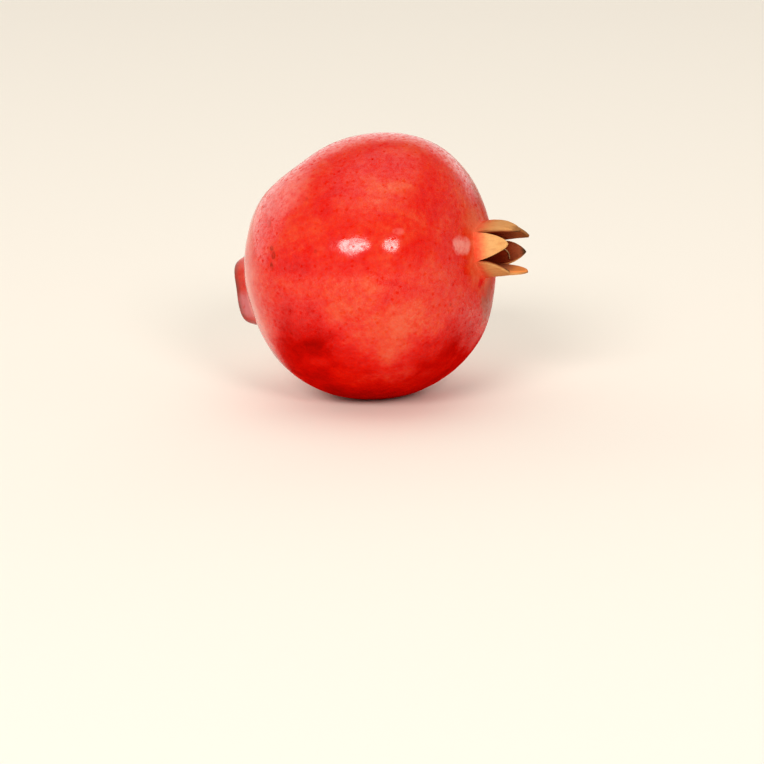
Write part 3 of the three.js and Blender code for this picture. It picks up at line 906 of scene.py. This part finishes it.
def rind_skin(root):
    """What the rind's looks are made of, as wires: places, patterns and the surface's stored numbers."""
    place = root.node("ShaderNodeTexCoord", out="Object")
    own = root.node(
        "ShaderNodeMapping",
        {"vector_type": "TEXTURE"},
        {"Vector": place, "Location": FRUIT_CENTRE, "Rotation": (0, math.pi / 2 - AXIS_RISE, 0)},
    )
    skin = {name: own.noise(**values) for name, values in PATTERNS.items()}
    skin |= {name: root.attribute(name) for name in FRUIT_MARKS}
    drift = own.noise(**DRIFT_NOISE).vector_math("SUBTRACT", (0.5, 0.5, 0.5))
    for name, reach in DRIFTS.items():
        skin[name] = place.vector_math("ADD", drift.vector_math("MULTIPLY", (reach, reach, reach)))
    own_x, own_y, own_z = own.parts()
    skin["own place"] = own
    skin["below axis"] = own_x
    skin["along axis"] = own_z
    skin["from axis"] = (own_x * own_x + own_y * own_y).math("SQRT")
    skin["crown side"] = own_z.ramp(*CROWN_SIDE)
    skin["above floor"] = place.parts()[2]
    return skin


def rind_colour(skin, fruit):
    """Mottled rind, from broad zones to fine lace, with its patches, a deeper red below that is partly
    painted shade, and a painted pale sheen towards the stalk end.
    """
    lace = 1 - abs(skin["lace"] - 0.5).ramp(0.0, LACE_WIDTH)
    tone = 0.5 + lace * skin["lace areas"].ramp(*LACE_AREAS) * LACE_TONE
    paler = 0
    for patch in PATCHES:
        distance = skin["far drift"].vector_math("DISTANCE", spot_on(fruit, patch["pixel"]), "Value")
        core = PATCH_CORE * patch["radius"]
        paler += (1 - distance.ramp(core, patch["radius"], smooth=True)) * patch["paler"]
    skin["level"] = shifted(skin["above floor"] + paler * PATCH_LEVEL, skin, LEVEL_SHIFTS)
    # Partly the rind's own deeper red and partly painted shade: darker towards the floor.
    underside_red_and_shade = 1 - skin["level"].ramp(*UNDERSIDE_RED_AND_SHADE_HEIGHTS, smooth=True)
    near_crown = (1 - skin["from axis"].ramp(*NEAR_CROWN, smooth=True)) * skin["crown side"]
    tone = shifted(tone + paler, skin, TONE_SHIFTS)
    colour = (tone - underside_red_and_shade * UNDERSIDE_RED_AND_SHADE_TONE + near_crown * NEAR_CROWN_TONE).colours(RIND_STOPS)
    # Painted reflection: a pale sheen towards the stalk end, off the boss and the underside.
    painted_sheen = (1 - skin["along axis"].ramp(*PAINTED_SHEEN_END, smooth=True)) * (1 - underside_red_and_shade)
    painted_sheen *= 1 - skin["boss"].ramp(*BOSS_FOOT)
    painted_sheen *= skin["blotches"].ramp(*PAINTED_SHEEN_BLOTCHES).between(*PAINTED_SHEEN_STRENGTHS)
    return painted_sheen.mix(colour, PAINTED_SHEEN_COLOUR)


def add_marks(skin, fruit, colour):
    """Lays painted shade at the right side, the boss's duller red, pale spots (one rubbed on the boss, the
    rest painted highlights and sheen), brown scuffs, specks and pores over the rind.
    """
    # Painted shade: browner patches at the right side.
    right_side_shade = marked(fruit, skin["far drift"], RIGHT_SIDE_SHADE) * (1 - skin["neck"].ramp(0.0, RIGHT_SIDE_SHADE_NECK_END))
    colour = (right_side_shade * skin["blotches"].ramp(*RIGHT_SIDE_SHADE_BLOTCHES)).mix(colour, RIGHT_SIDE_SHADE_COLOUR)
    boss_red = skin["boss"] * skin["blotches"].ramp(*BOSS_BLOTCHES).between(*BOSS_STRENGTHS)
    colour = boss_red.mix(colour, BOSS_COLOUR)
    # Pale spots: one rubbed on the boss, the rest painted highlights and a painted sheen.
    rubbed_and_highlights = marked(fruit, skin["near drift"], RUBBED_AND_HIGHLIGHTS) * (1 - skin["sepal"].ramp(0, RUBBED_AND_HIGHLIGHT_SEPAL_END))
    rubbed_and_highlight_colour = skin["boss"].ramp(*BOSS_FOOT).mix(PAINTED_HIGHLIGHT_COLOUR, RUBBED_BOSS_COLOUR)
    colour = (rubbed_and_highlights * skin["fine"].ramp(*RUBBED_AND_HIGHLIGHT_GRAIN)).mix(colour, rubbed_and_highlight_colour)
    own = skin["own place"]
    specks = 1 - own.cells(SPECKS_PER_METRE, "Distance").ramp(*SPECK_EDGE, smooth=True)
    specks *= own.cells(SPECKS_PER_METRE, "Color").parts()[0].ramp(*SPECK_DRAW) * SPECK_STRENGTH
    scuffs = marked(fruit, skin["near drift"], SCUFFS).math("MAXIMUM", specks)
    skin["scuffs"] = scuffs * skin["fine"].ramp(*SCUFF_GRAIN)
    colour = skin["scuffs"].mix(colour, SCUFF_COLOUR)
    skin["pores"] = 1 - own.cells(PORES_PER_METRE, "Distance").ramp(*PORE_EDGE, smooth=True)
    colour = (skin["pores"] * PORE_STRENGTH).mix(colour, PORE_COLOUR)

    # The boss is brown along its rim and underneath.
    rim = skin["boss"].ramp(*BOSS_RIM) * (1 - skin["boss"].ramp(*BOSS_FACE))
    underneath = skin["boss"].ramp(*BOSS_WALL) * skin["below axis"].ramp(*BOSS_UNDERNEATH)
    brown = rim.math("MAXIMUM", underneath) * skin["fine"].ramp(*BOSS_BROWN_GRAIN)
    return (brown * BOSS_BROWN_STRENGTH).mix(colour, BOSS_BROWN)


def add_crown(skin, colour):
    """Colours the sepals tan with long fibres, dry and brown at edges and ends, and maroon inside."""
    sepal = skin["sepal"]
    ripeness = shifted(skin["neck"] * NECK_RIPENESS + sepal, skin, RIPENESS_SHIFTS)
    tan = ripeness.colours(TAN_STOPS)
    tan = (skin["streaks"].ramp(*STREAK_EDGE) * STREAK_STRENGTH).mix(tan, STREAK_COLOUR)
    tan = (skin["dry"].ramp(*DRY_START) * DRY_STRENGTH).mix(tan, DRY_COLOUR)
    skin["crown"] = ripeness.ramp(*TAN_START, smooth=True)
    colour = skin["crown"].mix(colour, tan)
    ends = shifted(sepal, skin, DRY_END_SHIFTS).ramp(*DRY_END, smooth=True) * skin["dry"]
    colour = ends.mix(colour, DRY_END_COLOUR)
    rims = (skin["across"] + sepal * RIM_WIDENS).ramp(*RIM_EDGE) * sepal.ramp(*RIM_START)
    rims *= skin["fine"].ramp(*RIM_GRAIN) * RIM_STRENGTH
    colour = rims.mix(colour, RIM_COLOUR)
    depth = sepal * INSIDE_SEPAL_SHARE + (1 - skin["cup"]) * INSIDE_CUP_SHARE
    depth = shifted(depth, skin, INSIDE_SHIFTS)
    maroon = skin["pale"].mix(depth.colours(MAROON_STOPS), depth.colours(ORANGE_STOPS))
    return skin["inside"].ramp(*INSIDE_EDGE, smooth=True).mix(colour, maroon)


def finish_rind(material, fruit):
    """Waxy rind with pores and small pits, matt underneath, on the crown and round it."""
    root = Wire(material.node_tree)
    skin = rind_skin(root)
    colour = add_crown(skin, add_marks(skin, fruit, rind_colour(skin, fruit)))
    crown = skin["crown"]
    pores = skin["pores"]
    height = skin["pits"] - pores * (1 - crown) * PORE_RELIEF + skin["streaks"] * crown * STREAK_RELIEF
    dull = crown.math("MAXIMUM", skin["inside"]).math("MAXIMUM", skin["boss"] * BOSS_DULLNESS)
    dull = dull.math("MAXIMUM", skin["scuffs"])
    matt_crown = (1 - skin["from axis"].ramp(*MATT_CROWN, smooth=True)) * skin["crown side"]
    glossy_end = 1 - skin["along axis"].ramp(*GLOSSY_END, smooth=True)
    gloss = skin["level"].ramp(*GLOSS_HEIGHTS, smooth=True).math("MAXIMUM", glossy_end)
    gloss *= 1 - matt_crown * MATT_CROWN_SHARE
    wax = skin["wax"].ramp(*WAX_GAPS).between(*WAX_WEIGHTS) * (1 - pores * WAX_PORES)
    wax = wax.math("MAXIMUM", glossy_end * WAX_GLOSSY_END)
    set_finish(root, {
        "Base Color": colour,
        "Roughness": shifted(dull.between(*RIND_ROUGHNESS), skin, ROUGHNESS_SHIFTS),
        "Specular IOR Level": 0.0,
        "Coat Weight": (1 - dull) * gloss * wax,
        "Coat Roughness": COAT_ROUGHNESS,
        "Coat IOR": COAT_IOR,
        "Normal": root.node("ShaderNodeBump", sockets={"Height": height} | RIND_RELIEF),
    })


def finish_stamens(material):
    """Dry straw-coloured threads, browner anthers and a dark red-brown cushion."""
    root = Wire(material.node_tree)
    grain = root.node("ShaderNodeTexCoord", out="Object").noise(**STAMEN_GRAIN)
    colour = root.attribute("tip").mix(grain.colours(THREAD_STOPS), grain.colours(ANTHER_STOPS))
    set_finish(root, {
        "Base Color": root.attribute("cushion").mix(colour, grain.colours(CUSHION_STOPS)),
        "Roughness": grain.between(*STAMEN_ROUGHNESS),
        "Normal": root.node("ShaderNodeBump", sockets={"Height": grain} | STAMEN_RELIEF),
    })


def finish_stalk(material):
    """Grey-brown bark with lengthwise cracks, and a pale cut end with rings round a darker pith."""
    root = Wire(material.node_tree)
    fibres = root.node("ShaderNodeTexCoord", out="Object").noise(**BARK_FIBRES)
    ring = root.attribute("ring")
    rings = ((ring + (fibres - 0.5) * RING_WAVER) * RING_PHASE).sin().ramp(-1, 1)
    pith = 1 - ring.ramp(*PITH_EDGE, smooth=True)
    wood = pith.mix(rings.colours(WOOD_STOPS), PITH_COLOUR)
    height = fibres + rings * RING_RELIEF
    set_finish(root, {
        "Base Color": root.attribute("cut").ramp(*CUT_EDGE).mix(fibres.colours(BARK_STOPS), wood),
        "Roughness": fibres.between(*BARK_ROUGHNESS),
        "Normal": root.node("ShaderNodeBump", sockets={"Height": height} | STALK_RELIEF),
    })


def from_fruit(right_turn, lift):
    """The direction from the fruit to the camera, turned to the camera's right and lifted, by degrees."""
    azimuth = CAMERA_AZIMUTH + math.radians(right_turn)
    elevation = CAMERA_ELEVATION + math.radians(lift)
    level = math.cos(elevation)
    return Vector((math.sin(azimuth) * level, -math.cos(azimuth) * level, math.sin(elevation)))


def add_camera():
    """The photograph's camera, turned so that the fruit's centre falls on its pixel."""
    focal_pixels = PIXELS_PER_METRE * CAMERA_DISTANCE
    towards_camera = from_fruit(0, 0)
    right = Vector((math.cos(CAMERA_AZIMUTH), math.sin(CAMERA_AZIMUTH), 0))
    up = towards_camera.cross(right)
    aside = (FRAME_PIXELS / 2 - CENTRE_PIXEL[0]) / focal_pixels
    below = (FRAME_PIXELS / 2 - CENTRE_PIXEL[1]) / focal_pixels
    forward = (right * aside - up * below - towards_camera).normalized()
    level = forward.cross(Vector((0, 0, 1))).normalized()
    turned = Matrix((level, level.cross(forward), -forward)).transposed().to_4x4()
    lens = bpy.data.cameras.new("camera")
    lens.sensor_width = SENSOR_WIDTH
    lens.lens = focal_pixels / FRAME_PIXELS * SENSOR_WIDTH
    camera = bpy.data.objects.new("camera", lens)
    camera.matrix_world = Matrix.Translation(FRUIT_CENTRE + towards_camera * CAMERA_DISTANCE) @ turned
    bpy.context.scene.collection.objects.link(camera)
    bpy.context.scene.camera = camera


def add_lamp(name, lamp):
    """A soft oval lamp that faces the fruit."""
    light = bpy.data.lights.new(name, "AREA")
    light.shape = "ELLIPSE"
    light.size, light.size_y = lamp["size"]
    light.energy = lamp["watts"]
    light.color = LAMP_COLOUR
    holder = bpy.data.objects.new(name, light)
    side = from_fruit(lamp["right"], lamp["lift"])
    holder.location = FRUIT_CENTRE + side * LAMP_DISTANCE
    holder.rotation_euler = side.to_track_quat("Z", "Y").to_euler()
    bpy.context.scene.collection.objects.link(holder)


def add_room():
    """Light from all round: a bright backdrop and ceiling, and a darker side behind the camera."""
    world = bpy.data.worlds.new("room")
    world.use_nodes = True
    world.node_tree.nodes.clear()
    root = Wire(world.node_tree)
    direction = root.node("ShaderNodeTexCoord", out="Generated")
    _, _, height = direction.parts()
    room = height.colours(ROOM_LIGHTS)
    towards = direction.vector_math("DOT_PRODUCT", from_fruit(BACKDROP_TURN, 0), "Value")
    glow = towards.ramp(*BACKDROP_EDGE, smooth=True) * (1 - height.ramp(*BACKDROP_TOP, smooth=True))
    dark_side = (1 - towards.ramp(*DARK_SIDE, smooth=True)) * height.ramp(*DARK_SIDE_RISE)
    strength = dark_side.between(1.0, DARK_SIDE_LIGHT)
    light = root.node(
        "ShaderNodeBackground",
        sockets={"Color": glow.mix(room, BACKDROP_LIGHT), "Strength": strength},
    )
    root.node("ShaderNodeOutputWorld", sockets={"Surface": light})
    bpy.context.scene.world = world


def add_floor():
    """A pale matt floor, which belongs to the studio and not to the part."""
    material = new_material("floor")
    set_finish(Wire(material.node_tree), {"Base Color": FLOOR_COLOUR, "Roughness": FLOOR_ROUGHNESS})
    half = FLOOR_SIZE / 2
    corners = [(-half, -half, 0), (half, -half, 0), (half, half, 0), (-half, half, 0)]
    mesh = bpy.data.meshes.new("floor")
    mesh.from_pydata(corners, [], [(0, 1, 2, 3)])
    mesh.materials.append(material)
    floor = bpy.data.objects.new("floor", mesh)
    bpy.context.scene.collection.objects.link(floor)


def stand_for(piece, node):
    """The piece takes its solid's place, moves with it and has its finish."""
    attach(piece, "root")
    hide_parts(node)


add_camera()

rind = new_material("rind")
fruit_sizes = {
    "Equator radius": EQUATOR_RADIUS,
    "Pole radius": POLE_RADIUS,
    "Squareness": SQUARENESS,
    "Rib height": RIB_HEIGHT,
    "Lump height": LUMP_HEIGHT,
    "Boss radius": BOSS_RADIUS,
    "Neck foot radius": NECK_FOOT_RADIUS,
    "Crown radius": CROWN_RADIUS,
}
fruit = grow("pomegranate_fruit", fruit_sizes, fruit_surface, rind)
finish_rind(rind, fruit)
stand_for(fruit, "fruit")

dried_stamens = new_material("dried_stamens")
stamen_sizes = {
    "Ring radius": STAMEN_RING_RADIUS,
    "Stamen length": STAMEN_LENGTHS[1],
    "Stamen thickness": STAMEN_THICK,
    "Style length": STYLE_LENGTH,
}
stamens = grow("pomegranate_stamens", stamen_sizes, stamen_brush, dried_stamens)
finish_stamens(dried_stamens)
stand_for(stamens, "stamens")

stalk_wood = new_material("stalk_wood")
stalk_sizes = {"Stalk radius": STALK_RADIUS, "Stalk length": STALK_LENGTH}
stalk = grow("pomegranate_stalk", stalk_sizes, stalk_stub, stalk_wood)
finish_stalk(stalk_wood)
stand_for(stalk, "stalk")

for lamp_name, lamp_values in LAMPS.items():
    add_lamp(lamp_name, lamp_values)
add_room()
add_floor()
bpy.context.scene.view_settings.view_transform = "Standard"
